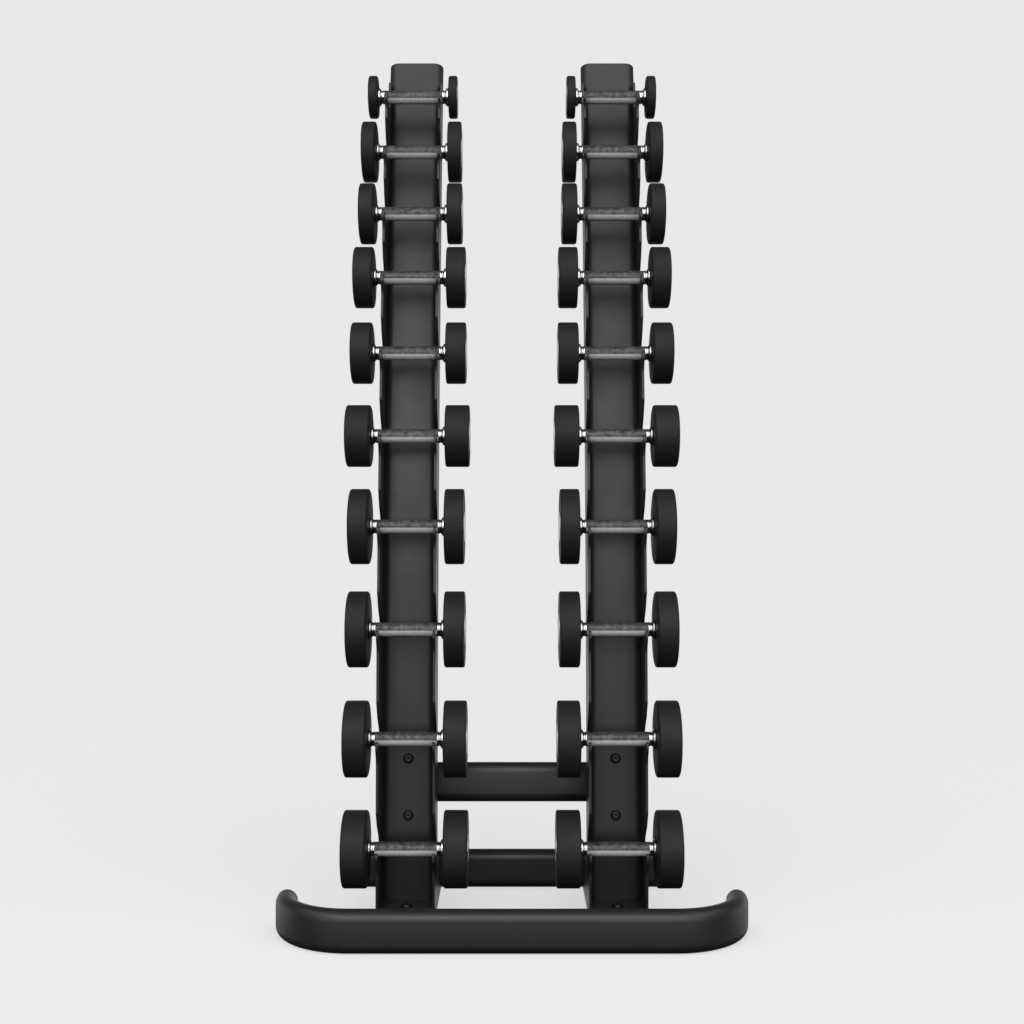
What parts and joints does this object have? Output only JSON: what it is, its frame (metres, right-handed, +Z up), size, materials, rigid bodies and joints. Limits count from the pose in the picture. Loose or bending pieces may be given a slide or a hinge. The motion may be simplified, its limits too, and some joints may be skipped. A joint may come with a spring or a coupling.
{
  "type": "dumbbell rack",
  "caption": "Upright dumbbell rack: curved flat-oval towers with hooked saddle plates on oval floor bars, holding round-head dumbbells that lift off.",
  "frame": {"origin": "on the floor, under the middle of the rack's bounding box", "axes": "+Z up from the floor; +X across the rack to the right of a person facing it, who stands on its -Y side; the towers lean towards +Y"},
  "size_m": [0.894, 0.584, 1.7743],
  "materials": {
    "frame_paint": "satin black powder coat",
    "cap_plastic": "satin black plastic",
    "bolt_black": "black oxide",
    "handle_chrome": "knurled and chromed",
    "head_iron": "matte black rubber skin",
    "head_rubber": "matte black rubber skin"
  },
  "bodies": {
    "root": {"front_foot_bar": "frame_paint", "rear_foot_bar": "frame_paint", "cross_brace": "frame_paint", "foot_rail_left": "frame_paint", "foot_bolt_left": "bolt_black", "upright_left": "frame_paint", "top_cap_left": "cap_plastic", "saddle_plate_left_outer": "frame_paint", "saddle_plate_left_inner": "frame_paint", "brace_bolt_left_lower": "bolt_black", "brace_bolt_left_upper": "bolt_black", "foot_rail_right": "frame_paint", "foot_bolt_right": "bolt_black", "upright_right": "frame_paint", "top_cap_right": "cap_plastic", "saddle_plate_right_outer": "frame_paint", "saddle_plate_right_inner": "frame_paint", "brace_bolt_right_lower": "bolt_black", "brace_bolt_right_upper": "bolt_black"},
    "dumbbell_left_10kg": {"handle_left_10kg": "handle_chrome", "heads_left_10kg": "head_iron"},
    "dumbbell_left_9kg": {"handle_left_9kg": "handle_chrome", "heads_left_9kg": "head_iron"},
    "dumbbell_left_8kg": {"handle_left_8kg": "handle_chrome", "heads_left_8kg": "head_iron"},
    "dumbbell_left_7kg": {"handle_left_7kg": "handle_chrome", "heads_left_7kg": "head_iron"},
    "dumbbell_left_6kg": {"handle_left_6kg": "handle_chrome", "heads_left_6kg": "head_iron"},
    "dumbbell_left_5kg": {"handle_left_5kg": "handle_chrome", "heads_left_5kg": "head_iron"},
    "dumbbell_left_4kg": {"handle_left_4kg": "handle_chrome", "heads_left_4kg": "head_iron"},
    "dumbbell_left_3kg": {"handle_left_3kg": "handle_chrome", "heads_left_3kg": "head_rubber"},
    "dumbbell_left_2kg": {"handle_left_2kg": "handle_chrome", "heads_left_2kg": "head_rubber"},
    "dumbbell_left_1kg": {"handle_left_1kg": "handle_chrome", "heads_left_1kg": "head_rubber"},
    "dumbbell_right_10kg": {"handle_right_10kg": "handle_chrome", "heads_right_10kg": "head_iron"},
    "dumbbell_right_9kg": {"handle_right_9kg": "handle_chrome", "heads_right_9kg": "head_iron"},
    "dumbbell_right_8kg": {"handle_right_8kg": "handle_chrome", "heads_right_8kg": "head_iron"},
    "dumbbell_right_7kg": {"handle_right_7kg": "handle_chrome", "heads_right_7kg": "head_iron"},
    "dumbbell_right_6kg": {"handle_right_6kg": "handle_chrome", "heads_right_6kg": "head_iron"},
    "dumbbell_right_5kg": {"handle_right_5kg": "handle_chrome", "heads_right_5kg": "head_iron"},
    "dumbbell_right_4kg": {"handle_right_4kg": "handle_chrome", "heads_right_4kg": "head_iron"},
    "dumbbell_right_3kg": {"handle_right_3kg": "handle_chrome", "heads_right_3kg": "head_rubber"},
    "dumbbell_right_2kg": {"handle_right_2kg": "handle_chrome", "heads_right_2kg": "head_rubber"},
    "dumbbell_right_1kg": {"handle_right_1kg": "handle_chrome", "heads_right_1kg": "head_rubber"}
  },
  "joints": [
    {"name": "lift_off_left_10kg", "type": "slide", "parent": "root", "child": "dumbbell_left_10kg", "axis": [0, -0.9048, 0.4259], "range_m": [0, 0.25]},
    {"name": "lift_off_left_9kg", "type": "slide", "parent": "root", "child": "dumbbell_left_9kg", "axis": [0, -0.8902, 0.4555], "range_m": [0, 0.25]},
    {"name": "lift_off_left_8kg", "type": "slide", "parent": "root", "child": "dumbbell_left_8kg", "axis": [0, -0.8747, 0.4846], "range_m": [0, 0.25]},
    {"name": "lift_off_left_7kg", "type": "slide", "parent": "root", "child": "dumbbell_left_7kg", "axis": [0, -0.8591, 0.5118], "range_m": [0, 0.25]},
    {"name": "lift_off_left_6kg", "type": "slide", "parent": "root", "child": "dumbbell_left_6kg", "axis": [0, -0.8443, 0.5358], "range_m": [0, 0.25]},
    {"name": "lift_off_left_5kg", "type": "slide", "parent": "root", "child": "dumbbell_left_5kg", "axis": [0, -0.8299, 0.5579], "range_m": [0, 0.25]},
    {"name": "lift_off_left_4kg", "type": "slide", "parent": "root", "child": "dumbbell_left_4kg", "axis": [0, -0.8159, 0.5782], "range_m": [0, 0.25]},
    {"name": "lift_off_left_3kg", "type": "slide", "parent": "root", "child": "dumbbell_left_3kg", "axis": [0, -0.8033, 0.5956], "range_m": [0, 0.25]},
    {"name": "lift_off_left_2kg", "type": "slide", "parent": "root", "child": "dumbbell_left_2kg", "axis": [0, -0.7904, 0.6127], "range_m": [0, 0.25]},
    {"name": "lift_off_left_1kg", "type": "slide", "parent": "root", "child": "dumbbell_left_1kg", "axis": [0, -0.7782, 0.6281], "range_m": [0, 0.25]},
    {"name": "lift_off_right_10kg", "type": "slide", "parent": "root", "child": "dumbbell_right_10kg", "axis": [0, -0.9048, 0.4259], "range_m": [0, 0.25]},
    {"name": "lift_off_right_9kg", "type": "slide", "parent": "root", "child": "dumbbell_right_9kg", "axis": [0, -0.8902, 0.4555], "range_m": [0, 0.25]},
    {"name": "lift_off_right_8kg", "type": "slide", "parent": "root", "child": "dumbbell_right_8kg", "axis": [0, -0.8747, 0.4846], "range_m": [0, 0.25]},
    {"name": "lift_off_right_7kg", "type": "slide", "parent": "root", "child": "dumbbell_right_7kg", "axis": [0, -0.8591, 0.5118], "range_m": [0, 0.25]},
    {"name": "lift_off_right_6kg", "type": "slide", "parent": "root", "child": "dumbbell_right_6kg", "axis": [0, -0.8443, 0.5358], "range_m": [0, 0.25]},
    {"name": "lift_off_right_5kg", "type": "slide", "parent": "root", "child": "dumbbell_right_5kg", "axis": [0, -0.8299, 0.5579], "range_m": [0, 0.25]},
    {"name": "lift_off_right_4kg", "type": "slide", "parent": "root", "child": "dumbbell_right_4kg", "axis": [0, -0.8159, 0.5782], "range_m": [0, 0.25]},
    {"name": "lift_off_right_3kg", "type": "slide", "parent": "root", "child": "dumbbell_right_3kg", "axis": [0, -0.8033, 0.5956], "range_m": [0, 0.25]},
    {"name": "lift_off_right_2kg", "type": "slide", "parent": "root", "child": "dumbbell_right_2kg", "axis": [0, -0.7904, 0.6127], "range_m": [0, 0.25]},
    {"name": "lift_off_right_1kg", "type": "slide", "parent": "root", "child": "dumbbell_right_1kg", "axis": [0, -0.7782, 0.6281], "range_m": [0, 0.25]}
  ]
}
